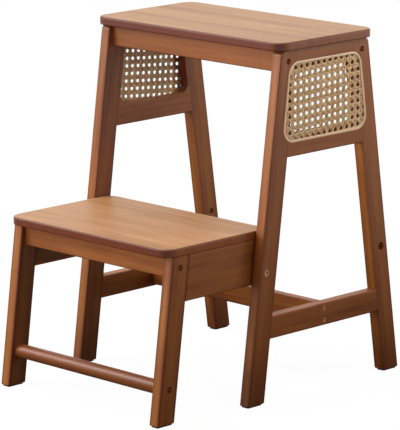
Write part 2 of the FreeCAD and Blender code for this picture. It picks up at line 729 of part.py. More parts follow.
def cane_openings(face, first):
    """Wires of the webbing's openings: a square grid from a first centre, as far as the face reaches."""
    pitch = number("sizes.cane_pitch")
    reach = number("sizes.cane_hole") / 2 / math.cos(math.pi / 8)
    edge_room = reach + number("sizes.cane_edge")
    count = int(face.BoundBox.DiagonalLength / pitch) + 1
    wires = []
    for column in range(-count, count + 1):
        for row in range(-count, count + 1):
            centre = first + Vector(0, column * pitch, row * pitch)
            clear_of_edge = face.OuterWire.distToShape(Part.Vertex(centre))[0] > edge_room
            if clear_of_edge and face.isInside(centre, TOUCH, True):
                wires.append(octagon(centre, reach))
    return wires


def cane_panel(side_name):
    """The cane webbing as one holed face on the recess floor, extruded to the cane's thickness."""
    side = SIDES[side_name]
    inset = "(sizes.spline_width + sizes.fit_clearance)"
    outline = rounded_prism(f"{side_name}_cane_outline", side, RECESS_FLOOR, "sizes.cane_thickness",
                            cane_outline(inset), f"(sizes.cane_corner_radius - {inset})")
    floor = number(f"{side} * {RECESS_FLOOR}")
    face = next(item for item in outline.Shape.Faces
                if near(item.BoundBox.XMin, floor) and near(item.BoundBox.XMax, floor))
    column = number(f"sizes.{side_name}_cane_column + {CENTRE_SHIFT}")
    first = Vector(floor, column, number(f"{CANE_BOTTOM} + sizes.cane_row_rise"))
    openings = cane_openings(face, first)
    net = Part.makeFace([face.OuterWire] + openings, "Part::FaceMakerBullseye")
    feature = doc.addObject("Part::Feature", f"{side_name}_cane_panel")
    feature.Label = f"{side_name}_cane_panel"
    feature.Shape = net.extrude(Vector(side * number("sizes.cane_thickness"), 0, 0))
    print(feature.Label, "openings:", len(openings))
    return feature


# Fasteners, dowels and pads, each made once and copied
def hexagon(key):
    """Corners of a hex socket of a given width across its flats."""
    corners = []
    for index in range(6):
        turn = math.radians(60 * index + 30)
        corners.append(tuple(f"({key} * {part(turn) / math.sqrt(3):.6f})" for part in (math.cos, math.sin)))
    return corners


def turned(name, outline):
    """A body turned about Z from an outline of radius and height pairs."""
    body = new_template(name)
    sketch = sketch_on(body, "XZ_Plane")
    polygon(sketch, outline)
    feature = body.newObject("PartDesign::Revolution", f"{name}_turned")
    feature.Profile = sketch
    feature.ReferenceAxis = (sketch, ["V_Axis"])
    feature.Angle = 360
    doc.recompute()
    return body


def socket(body, key, depth):
    """A hex socket in the top of a turned body."""
    sketch = sketch_on(body, "XY_Plane")
    polygon(sketch, hexagon(key))
    pocket(body, sketch, depth)


def wood_screw(name, length):
    """A socket-head wood screw with its head's top at Z = 0 and its tip downwards."""
    head, shank = "(sizes.screw_head_diameter / 2)", "(sizes.screw_shank_diameter / 2)"
    neck = "(-sizes.screw_head_height)"
    body = turned(name, [("0", f"(-{length})"), (shank, f"(-{length} + sizes.screw_tip)"),
                         (shank, neck), (head, neck), (head, "0"), ("0", "0")])
    socket(body, "sizes.screw_key", "sizes.screw_key_depth")
    return body


def dowel(name, length):
    """A plain dowel that starts at Z = 0."""
    radius = "(sizes.dowel_diameter / 2)"
    return turned(name, [("0", "0"), (radius, "0"), (radius, length), ("0", length)])


def pivot_bolt():
    """A shoulder bolt with its head's top at Z = 0: head, shoulder in the leg and washer, thread."""
    head, shoulder = "(sizes.pivot_head_diameter / 2)", "(sizes.pivot_shoulder_diameter / 2)"
    thread = "(sizes.pivot_thread_diameter / 2)"
    seat = "(-sizes.pivot_head_height)"
    rail = "(sizes.pivot_head_depth - sizes.frame_thickness - sizes.washer_thickness)"
    tip = f"({rail} - sizes.pivot_thread_length)"
    body = turned("pivot_bolt", [("0", tip), (thread, tip), (thread, rail), (shoulder, rail),
                                 (shoulder, seat), (head, seat), (head, "0"), ("0", "0")])
    socket(body, "sizes.pivot_key", "sizes.pivot_key_depth")
    return body


def ring(name, outer, inner, height):
    """A plain ring that starts at Z = 0."""
    radius, hole = f"({outer} / 2)", f"({inner} / 2)"
    return turned(name, [(hole, "0"), (radius, "0"), (radius, height), (hole, height)])


def upright(name, body, start, spots, direction):
    """A group of like pieces that stand on one level, pointing up or down."""
    return group(name, body, [facing(x, y, start, (0, 0, direction)) for x, y in spots])


def across_pairs(name, body, outer, depth, spots):
    """A group of like pieces in both side faces, sunk below them and turned outwards."""
    places = []
    for side in SIDES.values():
        for along, up in spots:
            places.append(facing(f"{side} * ({outer} - {depth})", along, up, (side, 0, 0)))
    return group(name, body, places)


def dowel_group(name, body, middle, joint, levels, ends):
    """The dowels across the joints of both side frames, each starting at its hole's front end."""
    places = []
    for side in SIDES.values():
        for end in ends:
            for height in levels:
                spot, start = dowel_hole(side, middle, joint(height, end), height, end)
                places.append(facing(spot[0], f"({start} + sizes.fit_clearance)", height, (0, 1, 0)))
    return group(name, body, places)


def foot_pads(name, width, thickness, feet):
    """Thin pads under the feet, set in from the edges of the legs."""
    body = new_template(f"{name}_pattern")
    sketch = sketch_on(body, "XY_Plane")
    half_x, half_y = f"({thickness} / 2 - sizes.pad_inset)", f"({width} / 2 - sizes.pad_inset)"
    polygon(sketch, [(f"(-{half_x})", f"(-{half_y})"), (half_x, f"(-{half_y})"),
                     (half_x, half_y), (f"(-{half_x})", half_y)])
    pad(body, sketch, "sizes.pad_thickness")
    round_edges(body, lambda middle, run: not level(run), "sizes.pad_radius")
    return upright(name, body, "0", feet, UP)


def main_frame():
    """Every piece of the main frame."""
    pieces = [seat_board(), seat_apron("front"), seat_apron("rear"), cross_rail()]
    for side_name in SIDES:
        recess, window = cane_recess(side_name), cane_window(side_name)
        pieces += [main_leg(side_name, end_name, recess) for end_name in ENDS]
        pieces += [side_panel(side_name, recess, window), lower_rail(side_name)]
        pieces += [cane_panel(side_name), cane_spline(side_name)]
    return pieces


def step_unit():
    """Every wooden piece of the step unit."""
    pieces = [step_tread(), step_front_apron(), step_rung()]
    for side_name in SIDES:
        pieces += [step_leg(side_name), step_rail(side_name)]
    return pieces


def fasteners():
    """Screws, dowels, pivot hardware and pads."""
    long_screw = wood_screw("long_screw", "sizes.screw_length")
    board_screw = wood_screw("board_screw", "sizes.board_screw_length")
    joint_dowel = dowel("joint_dowel", DOWEL_LENGTH)
    buried = "sizes.dowel_in_rail"
    board_dowel = dowel("board_dowel", f"({buried} + sizes.dowel_in_board)")
    bolt = pivot_bolt()
    insert = ring("insert", "sizes.insert_diameter",
                  "(sizes.pivot_thread_diameter + 2 * sizes.fit_clearance)", "sizes.insert_length")
    washer = ring("washer", "sizes.washer_diameter",
                  "(sizes.pivot_shoulder_diameter + 2 * sizes.fit_clearance)", "sizes.washer_thickness")
    deep = "sizes.deep_screw_depth"
    both_ends = ENDS.values()
    apron_spots = [(leg_centre(APRON_MIDDLE, end), APRON_MIDDLE) for end in both_ends]
    rail_spots = [("0", height) for height in CROSS_SCREW_LEVELS]
    step_apron_spot, rung_spot = step_screw_spots()
    screw_rise = "sizes.board_screw_bite - sizes.board_screw_length"
    foot = "sizes.pad_thickness"
    main_feet = [(f"{side} * {FRAME_MIDDLE}", leg_centre(foot, end))
                 for side in SIDES.values() for end in both_ends]
    step_feet = [(f"{side} * {STEP_MIDDLE}", step_leg_centre(foot)) for side in SIDES.values()]
    pieces = [
        across_pairs("seat_apron_screws", long_screw, FRAME_OUTER, deep, apron_spots),
        across_pairs("cross_rail_screws", long_screw, FRAME_OUTER, "sizes.flush_screw_depth", rail_spots),
        across_pairs("step_apron_screws", long_screw, STEP_OUTER, deep, [step_apron_spot]),
        across_pairs("rung_screws", long_screw, STEP_OUTER, deep, [rung_spot]),
        across_pairs("pivot_inserts", insert, STEP_OUTER, "sizes.insert_length", [PIVOT_SPOT]),
        across_pairs("pivot_washers", washer, FRAME_INNER, "sizes.washer_thickness", [PIVOT_SPOT]),
        upright("seat_screws", board_screw, f"({FRAME_TOP} + {screw_rise})", seat_screw_spots(), DOWN),
        upright("tread_screws", board_screw, f"({TREAD_UNDER} + {screw_rise})", tread_screw_spots(), DOWN),
        upright("seat_dowels", board_dowel, f"({FRAME_TOP} - {buried})", seat_dowel_spots(), UP),
        upright("tread_dowels", board_dowel, f"({TREAD_UNDER} - {buried})", tread_dowel_spots(), UP),
        dowel_group("panel_dowels", joint_dowel, FRAME_MIDDLE, leg_joint, PANEL_DOWEL_LEVELS, both_ends),
        dowel_group("lower_rail_dowels", joint_dowel, FRAME_MIDDLE, leg_joint,
                    LOWER_DOWEL_LEVELS, both_ends),
        dowel_group("step_rail_dowels", joint_dowel, STEP_MIDDLE,
                    lambda height, end: step_leg_joint(height), STEP_DOWEL_LEVELS, [FRONT]),
        foot_pads("main_foot_pads", "sizes.leg_width", "sizes.frame_thickness", main_feet),
        foot_pads("step_foot_pads", "sizes.step_leg_width", "sizes.step_thickness", step_feet),
    ]
    for side_name, side in SIDES.items():
        place = facing(f"{side} * ({FRAME_OUTER} - sizes.pivot_head_depth)", *PIVOT_SPOT, (side, 0, 0))
        pieces.append(group(f"{side_name}_pivot_bolt", bolt, [place]))
    return pieces


def check(pieces):
    """Stops before anything is written if an object failed or a piece is empty or not valid."""
    doc.recompute()
    for item in doc.Objects:
        if "Invalid" in item.State or "Error" in item.State:
            raise ValueError(f"{item.Label}: {item.State}")
    for piece in pieces:
        if piece.Shape.isNull() or not piece.Shape.isValid() or not piece.Shape.Solids:
            raise ValueError(f"{piece.Label}: no valid solid")


def write(pieces):
    """Writes one file for each piece, under the piece's own name."""
    os.makedirs("parts", exist_ok=True)
    for piece in pieces:
        piece.Shape.exportStep(f"parts/{piece.Label}.step")
        print(piece.Label, len(piece.Shape.Solids), round(piece.Shape.Volume))


all_pieces = main_frame() + step_unit() + fasteners()
check(all_pieces)
write(all_pieces)
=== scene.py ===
"""Two-step stool of stained bamboo with cane side panels: camera, light, finishes and woven cane.

Everything is in metres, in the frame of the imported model: X to the right, Y to the rear, Z up. Sizes of the
finishes, the cane and the reed are given in millimetres and turned into metres where they are used.
"""
import math

import bmesh
import bpy
import numpy as np
from mathutils import Matrix, Vector


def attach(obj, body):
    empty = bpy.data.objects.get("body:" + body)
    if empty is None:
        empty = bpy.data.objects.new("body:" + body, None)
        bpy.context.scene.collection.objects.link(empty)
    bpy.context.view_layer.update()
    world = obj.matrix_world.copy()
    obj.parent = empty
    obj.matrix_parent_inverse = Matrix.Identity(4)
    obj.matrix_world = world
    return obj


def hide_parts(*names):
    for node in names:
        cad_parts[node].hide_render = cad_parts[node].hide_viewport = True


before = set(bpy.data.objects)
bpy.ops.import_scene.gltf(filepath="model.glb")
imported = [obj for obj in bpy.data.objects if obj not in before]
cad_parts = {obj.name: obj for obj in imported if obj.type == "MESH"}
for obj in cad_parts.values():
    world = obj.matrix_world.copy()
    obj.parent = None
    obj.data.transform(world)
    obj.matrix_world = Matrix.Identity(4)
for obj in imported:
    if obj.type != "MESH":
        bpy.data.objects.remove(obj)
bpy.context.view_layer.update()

MM = 0.001
X, Y, Z = (1, 0, 0), (0, 1, 0), (0, 0, 1)
SIDES = {"left": -1, "right": 1}
WHITE = (1, 1, 1, 1)

# Places in the CAD pieces that the finishes and the cane follow, and how far the legs lean for their height
FRAME_OUTER, RECESS_DEPTH = 178.0, 3.0
RECESS_FLOOR = FRAME_OUTER - RECESS_DEPTH
LEG_LEAN = 67.0 / 488.0
STEP_LEG_LEAN = 33.0 / 242.0


# Materials
def colour(hex_text):
    """Linear colour of an sRGB hex value."""
    parts = [int(hex_text[start:start + 2], 16) / 255 for start in (1, 3, 5)]
    return (*[part / 12.92 if part <= 0.04045 else ((part + 0.055) / 1.055) ** 2.4 for part in parts], 1.0)


def add(tree, kind, values=None, out=0, **settings):
    """Adds a node with its settings and inputs, links the inputs that are sockets, and gives one output."""
    node = tree.nodes.new(kind)
    for name, value in settings.items():
        setattr(node, name, value)
    for name, value in (values or {}).items():
        if isinstance(value, bpy.types.NodeSocket):
            tree.links.new(value, node.inputs[name])
        else:
            node.inputs[name].default_value = value
    return node.outputs[out] if node.outputs else None


def new_material(name):
    """An empty node material."""
    material = bpy.data.materials.new(name)
    material.use_nodes = True
    material.node_tree.nodes.clear()
    return material, material.node_tree


def finish(tree, values):
    """Ends a material in one principled shader."""
    shader = add(tree, "ShaderNodeBsdfPrincipled", values)
    add(tree, "ShaderNodeOutputMaterial", {"Surface": shader})


def span(name, axis):
    """The least and the greatest reach of a CAD piece along an axis, in millimetres."""
    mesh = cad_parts[name].data
    points = np.empty(3 * len(mesh.vertices), dtype=np.float32)
    mesh.vertices.foreach_get("co", points)
    reach = points.reshape(-1, 3) @ np.array(axis) / MM
    return float(reach.min()), float(reach.max())


# Streaks of bamboo along the grain: length and width in millimetres, detail, and weight in the tone
STREAKS = {"fibre": (60.0, 2.0, 3.0, 0.5), "streak": (260.0, 8.0, 2.0, 0.9),
           "blotch": (110.0, 16.0, 2.0, 0.75), "cloud": (400.0, 60.0, 1.0, 0.6)}
STRIP_WEIGHT = 0.26
# Lines at a culm's nodes, in millimetres: from one to the next, half a line with and without its soft sides,
# and how far a line wavers; then how much of its colour shows, and how many spacings strips are shifted by
NODE_SPACING, NODE_HALF, NODE_CORE, NODE_WAVER = 340.0, 2.6, 0.3, 6.0
NODE_DEPTH, NODE_SHIFT = 0.16, 17.0
# Colours of the node lines and of end grain, the painted shade on the floor of the recess behind the cane,
# and the colour of the arrises, where stain gathers
NODE_COLOUR, END_TINT, RECESS_SHADE_TINT, ARRIS_TINT = "#4d2714", "#b48458", "#b87034", "#96623c"
# Cosines between a face's normal and an axis, where a face's stain and painted shade begin and where they are
# full
FACE_BEGINS, FACE_FULL = 0.55, 0.9
ARRIS_BEGINS, ARRIS_FULL = 0.98, 0.8
# How far stain reaches from a leg's long edges, and painted shade up from its foot, in millimetres
EDGE_STAIN, FOOT_SHADE = 7.0, 90.0


def stained_bamboo(name, grain, across, stained_and_shaded_faces, tones=("#864115", "#cf7e3c"), strip_mm=21.0, arris=0.8,
                   rough=0.4, leg=None):
    """Laminated bamboo, planed and sanded, with a walnut stain under satin lacquer.

    The eye sees flat strips side by side, each of its own tone, long fibre streaks that run with the grain,
    and now and then a short dark line across one strip, where a culm's node was. The ends are darker,
    because end grain takes more stain, and so are the rounded arrises, where stain and lacquer gather.
    A leg, given as the name of its CAD piece and two tints, is stained darker towards its long edges and has
    painted shade towards its foot.
    Fibre bundles are about 0.4 mm wide, too fine to show, so they are drawn about 2 mm wide.

    Darker faces are given as an axis and a tint; they are faces that took up more stain, and sides painted
    with shade. Arris is the share of stain on the arrises, and rough is the least roughness of the lacquer.
    """
    material, tree = new_material(name)
    grain, across = Vector(grain).normalized(), Vector(across).normalized()
    through = grain.cross(across)
    place = add(tree, "ShaderNodeTexCoord", out="Object")
    turned = add(tree, "ShaderNodeMapping",
                 {"Vector": place, "Rotation": Matrix((grain, across, through)).to_euler()})
    in_mm = add(tree, "ShaderNodeVectorMath", {0: turned, "Scale": 1 / MM}, operation="SCALE")
    along = add(tree, "ShaderNodeSeparateXYZ", {0: in_mm}, out="X")
    sideways = add(tree, "ShaderNodeSeparateXYZ", {0: in_mm}, out="Y")

    # Each strip's own random value
    strip_at = add(tree, "ShaderNodeMath", {0: sideways, 1: strip_mm}, operation="DIVIDE")
    strip = add(tree, "ShaderNodeMath", {0: strip_at}, operation="FLOOR")
    luck = add(tree, "ShaderNodeTexWhiteNoise", {"W": strip}, noise_dimensions="1D")

    # Tone: what each layer of streaks and each strip adds to or takes from the middle
    layers, weights = {"strip": luck}, {"strip": STRIP_WEIGHT}
    for layer, (length, width, detail, weight) in STREAKS.items():
        stretched = add(tree, "ShaderNodeVectorMath", {0: in_mm, 1: (1 / length, 1 / width, 1 / width)},
                        operation="MULTIPLY")
        shifted = add(tree, "ShaderNodeVectorMath", {0: stretched, 1: luck}, operation="ADD")
        layers[layer] = add(tree, "ShaderNodeTexNoise",
                            {"Vector": shifted, "Scale": 1.0, "Detail": detail, "Roughness": 0.55})
        weights[layer] = weight
    tone = 0.5
    for layer, value in layers.items():
        centred = add(tree, "ShaderNodeMath", {0: value, 1: 0.5}, operation="SUBTRACT")
        tone = add(tree, "ShaderNodeMath", {0: centred, 1: weights[layer], 2: tone}, operation="MULTIPLY_ADD")
    wood = add(tree, "ShaderNodeMix", {0: tone, 6: colour(tones[0]), 7: colour(tones[1])}, out=2,
               data_type="RGBA")

    # Node lines, each strip's at a place of their own
    fibre = layers["fibre"]
    wavering = add(tree, "ShaderNodeMath", {0: fibre, 1: NODE_WAVER, 2: along}, operation="MULTIPLY_ADD")
    counted = add(tree, "ShaderNodeMath", {0: wavering, 1: NODE_SPACING}, operation="DIVIDE")
    offset = add(tree, "ShaderNodeMath", {0: luck, 1: NODE_SHIFT, 2: counted}, operation="MULTIPLY_ADD")
    part = add(tree, "ShaderNodeMath", {0: offset}, operation="FRACT")
    centred = add(tree, "ShaderNodeMath", {0: part, 1: 0.5}, operation="SUBTRACT")
    away = add(tree, "ShaderNodeMath", {0: centred}, operation="ABSOLUTE")
    node_line = add(tree, "ShaderNodeMapRange",
                    {"Value": away, "From Min": NODE_HALF / NODE_SPACING,
                     "From Max": NODE_CORE / NODE_SPACING, "To Min": 0.0, "To Max": NODE_DEPTH},
                    interpolation_type="SMOOTHSTEP")
    wood = add(tree, "ShaderNodeMix", {0: node_line, 6: wood, 7: colour(NODE_COLOUR)}, out=2,
               data_type="RGBA")

    # Faces darker by the way they look: end grain and the edges of the laminations, which took up more stain,
    # and the sides of rails and legs, painted with shade
    stains_and_shades = []
    facing = add(tree, "ShaderNodeTexCoord", out="Normal")
    for axis, tint in ((grain, END_TINT), *stained_and_shaded_faces):
        look = add(tree, "ShaderNodeVectorMath", {0: facing, 1: axis}, out="Value", operation="DOT_PRODUCT")
        look = add(tree, "ShaderNodeMath", {0: look}, operation="ABSOLUTE")
        share = add(tree, "ShaderNodeMapRange",
                    {"Value": look, "From Min": FACE_BEGINS, "From Max": FACE_FULL})
        stains_and_shades.append((share, tint))

    # Painted shade on the floor of the recess behind the cane
    from_side = add(tree, "ShaderNodeSeparateXYZ", {0: place}, out="X")
    from_side = add(tree, "ShaderNodeMath", {0: from_side}, operation="ABSOLUTE")
    recess = add(tree, "ShaderNodeMath", {0: from_side, 1: RECESS_FLOOR * MM, 2: 0.5 * MM},
                 operation="COMPARE")
    looks_out = add(tree, "ShaderNodeSeparateXYZ", {0: facing}, out="X")
    looks_out = add(tree, "ShaderNodeMath", {0: looks_out}, operation="ABSOLUTE")
    recess = add(tree, "ShaderNodeMath", {0: recess, 1: looks_out}, operation="MULTIPLY")
    stains_and_shades.append((recess, RECESS_SHADE_TINT))

    # Arrises look between the flat sides, so no axis of the piece is close to their normal
    closest = 0.0
    for axis in (grain, across, through):
        look = add(tree, "ShaderNodeVectorMath", {0: facing, 1: axis}, out="Value", operation="DOT_PRODUCT")
        look = add(tree, "ShaderNodeMath", {0: look}, operation="ABSOLUTE")
        closest = add(tree, "ShaderNodeMath", {0: look, 1: closest}, operation="MAXIMUM")
    share = add(tree, "ShaderNodeMapRange",
                {"Value": closest, "From Min": ARRIS_BEGINS, "From Max": ARRIS_FULL, "To Max": arris})
    stains_and_shades.append((share, ARRIS_TINT))

    # A leg's long edges, stained darker, and its foot, painted with shade. On each of its faces one of the
    # two distances from an edge is nought, and the other one counts.
    if leg:
        node, edge_tint, foot_shade_tint = leg
        from_edge = 0.0
        from_side = add(tree, "ShaderNodeMath", {0: from_side, 1: MM}, operation="DIVIDE")
        for value, (low, high) in ((sideways, span(node, across)), (from_side, span(node, X))):
            off = add(tree, "ShaderNodeMath", {0: value, 1: (low + high) / 2}, operation="SUBTRACT")
            off = add(tree, "ShaderNodeMath", {0: off}, operation="ABSOLUTE")
            off = add(tree, "ShaderNodeMath", {0: (high - low) / 2, 1: off}, operation="SUBTRACT")
            from_edge = add(tree, "ShaderNodeMath", {0: off, 1: from_edge}, operation="MAXIMUM")
        share = add(tree, "ShaderNodeMapRange",
                    {"Value": from_edge, "From Min": EDGE_STAIN, "From Max": 0.0},
                    interpolation_type="SMOOTHSTEP")
        stains_and_shades.append((share, edge_tint))
        height = add(tree, "ShaderNodeSeparateXYZ", {0: place}, out="Z")
        share = add(tree, "ShaderNodeMapRange",
                    {"Value": height, "From Min": FOOT_SHADE * MM, "From Max": 0.0},
                    interpolation_type="SMOOTHSTEP")
        stains_and_shades.append((share, foot_shade_tint))

    # Each stain and each painted shade darkens the wood by its share
    for share, tint in stains_and_shades:
        wood = add(tree, "ShaderNodeMix", {0: share, 6: wood, 7: colour(tint)}, out=2, data_type="RGBA",
                   blend_type="MULTIPLY")
    sheen = add(tree, "ShaderNodeMapRange", {"Value": fibre, "To Min": rough, "To Max": rough + 0.1})
    bump = add(tree, "ShaderNodeBump", {"Strength": 0.25, "Distance": 0.15 * MM, "Height": fibre})
    finish(tree, {"Base Color": wood, "Roughness": sheen, "IOR": 1.5, "Normal": bump})
    return material


def natural_cane():
    """Chair cane, the split outer skin of rattan, woven and left natural.

    The skin is smooth and faintly glossy, straw to tan from strand to strand, with fine lines along each
    strand and darker edges where it was cut. UV is in millimetres: along the strand and across it.
    """
    material, tree = new_material("natural_cane")
    uv = add(tree, "ShaderNodeUVMap", uv_map="strand")
    luck = add(tree, "ShaderNodeAttribute", out="Fac", attribute_name="strand_tone")
    line_length, line_width = 22.0, 0.5
    stretched = add(tree, "ShaderNodeVectorMath", {0: uv, 1: (1 / line_length, 1 / line_width, 0.0)},
                    operation="MULTIPLY")
    lines = add(tree, "ShaderNodeTexNoise", {"Vector": stretched, "Scale": 1.0, "Detail": 2.0})
    lines = add(tree, "ShaderNodeMath", {0: lines, 1: 0.5}, operation="SUBTRACT")
    tone = add(tree, "ShaderNodeMath", {0: lines, 1: luck}, operation="ADD")
    skin = add(tree, "ShaderNodeMix", {0: tone, 6: colour("#b87a3a"), 7: colour("#ffe2ae")}, out=2,
               data_type="RGBA")
    from_middle = add(tree, "ShaderNodeSeparateXYZ", {0: uv}, out="Y")
    from_middle = add(tree, "ShaderNodeMath", {0: from_middle}, operation="ABSOLUTE")
    edge = add(tree, "ShaderNodeMapRange",
               {"Value": from_middle, "From Min": STRAND_WIDTH / 4, "From Max": STRAND_WIDTH / 2})
    skin = add(tree, "ShaderNodeMix", {0: edge, 6: skin, 7: colour("#a47a4a")}, out=2, data_type="RGBA",
               blend_type="MULTIPLY")
    finish(tree, {"Base Color": skin, "Roughness": 0.42, "IOR": 1.5})
    return material


def rattan_reed():
    """Peeled rattan reed, the spline that locks the cane in its groove: matt, pale, with long open fibres.

    UV is in millimetres: along the reed and round it.
    """
    material, tree = new_material("rattan_reed")
    uv = add(tree, "ShaderNodeUVMap", uv_map="reed")
    line_length, line_width = 30.0, 0.6
    stretched = add(tree, "ShaderNodeVectorMath", {0: uv, 1: (1 / line_length, 1 / line_width, 0.0)},
                    operation="MULTIPLY")
    lines = add(tree, "ShaderNodeTexNoise", {"Vector": stretched, "Scale": 1.0, "Detail": 3.0})
    reed = add(tree, "ShaderNodeMix", {0: lines, 6: colour("#f4be92"), 7: colour("#ffe8c8")}, out=2,
               data_type="RGBA")
    bump = add(tree, "ShaderNodeBump", {"Strength": 0.3, "Distance": 0.1 * MM, "Height": lines})
    finish(tree, {"Base Color": reed, "Roughness": 0.55, "IOR": 1.5, "Normal": bump})
    return material


def plain_grain(name, dark, light, grit_mm, rough, bump_mm, **more):
    """A moulded, turned or plated surface: two near colours mixed by grain of a real size."""
    material, tree = new_material(name)
    place = add(tree, "ShaderNodeTexCoord", out="Object")
    grit = add(tree, "ShaderNodeTexNoise", {"Vector": place, "Scale": 1 / (grit_mm * MM), "Detail": 3.0})
    skin = add(tree, "ShaderNodeMix", {0: grit, 6: colour(dark), 7: colour(light)}, out=2, data_type="RGBA")
    bump = add(tree, "ShaderNodeBump", {"Strength": 0.3, "Distance": bump_mm * MM, "Height": grit})
    finish(tree, {"Base Color": skin, "Roughness": rough, "Normal": bump, **more})
    return material


# Tints of darker faces: painted shade on the rails' sides, and the stain that the long edges of the seat and
# the tread took up
SIDE_SHADE_TINT, SEAT_EDGE_TINT, TREAD_EDGE_TINT = "#d2d0ca", "#a45812", "#9e5e18"
# The legs' tones, and the painted shade on their sides
LEG_TONES, LEG_SIDE_SHADE_TINT = ("#8e491a", "#dc8d46"), "#c4bbb5"
# Tints of the stain along a leg's long edges and of the painted shade at its foot
MAIN_STAIN_AND_SHADE, STEP_STAIN_AND_SHADE = ("#e0ccba", "#d2c8c4"), ("#cca480", "#ffffff")
bamboo_board = stained_bamboo("stained_bamboo_boards", X, Y, [(Y, SEAT_EDGE_TINT)], ("#9a6a42", "#c7986c"),
                              strip_mm=24.0)
# The tread's tones are lighter than the seat's: painted light on the same stained boards
bamboo_tread = stained_bamboo("stained_bamboo_tread", X, Y, [(Y, TREAD_EDGE_TINT)], ("#ae7646", "#e0a977"),
                              strip_mm=24.0)
bamboo_bar = stained_bamboo("stained_bamboo_bars", X, Z, [])
bamboo_rung = stained_bamboo("stained_bamboo_rung", X, Z, [], ("#6a3212", "#a45e32"), arris=0.0, rough=0.3)
bamboo_rail = stained_bamboo("stained_bamboo_rails", Y, Z, [(X, SIDE_SHADE_TINT)])
bamboo_front_leg = stained_bamboo("stained_bamboo_front_legs", (0, LEG_LEAN, 1), (0, 1, -LEG_LEAN),
                                  [(X, LEG_SIDE_SHADE_TINT)], LEG_TONES, arris=0.5,
                                  leg=("right_front_leg", *MAIN_STAIN_AND_SHADE))
bamboo_rear_leg = stained_bamboo("stained_bamboo_rear_legs", (0, -LEG_LEAN, 1), (0, 1, LEG_LEAN),
                                 [(X, LEG_SIDE_SHADE_TINT)], LEG_TONES, arris=0.5,
                                 leg=("right_rear_leg", *MAIN_STAIN_AND_SHADE))
bamboo_step_leg = stained_bamboo("stained_bamboo_step_legs", (0, STEP_LEG_LEAN, 1), (0, 1, -STEP_LEG_LEAN),
                                 [(X, LEG_SIDE_SHADE_TINT)], LEG_TONES, arris=0.3,
                                 leg=("right_step_leg", *STEP_STAIN_AND_SHADE))
bronzed_steel = plain_grain("bronzed_steel", "#b47c50", "#f0c490", 0.8, 0.38, 0.01, Metallic=1.0)
brass = plain_grain("turned_brass", "#a98140", "#c9a35c", 0.6, 0.3, 0.01, Metallic=1.0)
nylon = plain_grain("moulded_nylon", "#d8d2c4", "#e6e1d6", 0.5, 0.5, 0.01)
rubber = plain_grain("moulded_rubber", "#17120f", "#2a211c", 0.4, 0.8, 0.03)
birch = plain_grain("birch_dowel", "#cfae83", "#e0c59d", 0.7, 0.6, 0.03)

FINISHES = {
    bamboo_board: ["seat_board"],
    bamboo_tread: ["step_tread"],
    bamboo_bar: ["seat_front_apron", "seat_rear_apron", "cross_rail", "step_front_apron"],
    bamboo_rung: ["step_rung"],
    bamboo_rail: ["left_side_panel", "right_side_panel", "left_lower_rail", "right_lower_rail",
                  "left_step_rail", "right_step_rail"],
    bamboo_front_leg: ["left_front_leg", "right_front_leg"],
    bamboo_rear_leg: ["left_rear_leg", "right_rear_leg"],
    bamboo_step_leg: ["left_step_leg", "right_step_leg"],
    bronzed_steel: ["seat_apron_screws", "cross_rail_screws", "seat_screws", "step_apron_screws",
                    "rung_screws", "tread_screws", "left_pivot_bolt", "right_pivot_bolt"],
    brass: ["pivot_inserts"],
    nylon: ["pivot_washers"],
    rubber: ["main_foot_pads", "step_foot_pads"],
    birch: ["panel_dowels", "lower_rail_dowels", "seat_dowels", "step_rail_dowels", "tread_dowels"],
}
for material, names in FINISHES.items():
    for name in names:
        for material_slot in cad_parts[name].material_slots:
            material_slot.material = material


# Cane panels
# The cane's outline, in millimetres: the frame's middle, half its spread at the floor, levels and margins
MIDDLE_Y, LEG_HALF_SPREAD = 77.0, 154.0
CANE_BOTTOM, CANE_TOP, CANE_MARGIN, CANE_CORNER = 359.0, 471.0, 18.3, 20.0
# The weave is pulled a little askew as it is pressed in: one opening's place in Y and Z, and the steps to
# the next opening along and to the next one up
WEAVE = {"left": ((80.95, 405.85), (11.22, -1.0), (0.66, 11.02)),
         "right": ((75.2, 409.15), (11.38, 0.46), (0.0, 11.1))}
WEAVE_SEED = {"left": 12, "right": 11}
PITCH = 11.2
# Strands of the weave, and how far apart the two of a pair are from middle to middle
STRAND_WIDTH, STRAND_THICKNESS, PAIR_GAP = 2.9, 0.46, 3.3
# Strands end under the reed, and those shorter than the least length are left out
STRAND_INSET, LEAST_STRAND = 2.4, 4.0
# Steps of the weave on each side of the first opening, enough to fill the panel, and rings to a step
WEAVE_REACH, RINGS = 16, 8
# The weave's middle plane above the recess floor, and how far strands rise out of it
WEAVE_MIDDLE, WEAVE_RISE, DIAGONAL_RISE = 1.6, 0.34, 0.7
# Each strand's pattern starts at a random place, up to this many millimetres on, and its tone is near the
# mean, with a deviation and within limits
PATTERN_START, TONE_MEAN, TONE_DEVIATION, TONE_LEAST, TONE_MOST = 900, 0.5, 0.18, 0.05, 0.95
# The reed's middle inside the outline, its width, the height of its sides, the rise of its round top and
# the points on it, and the hairline between its ends
SPLINE_CENTRE, REED_WIDTH, REED_SHOULDER, REED_CROWN, CROWN_POINTS, REED_GAP = 2.0, 3.8, 2.4, 0.8, 11, 0.3
SHARP_DEGREES = 50.0
TINY = 1e-9


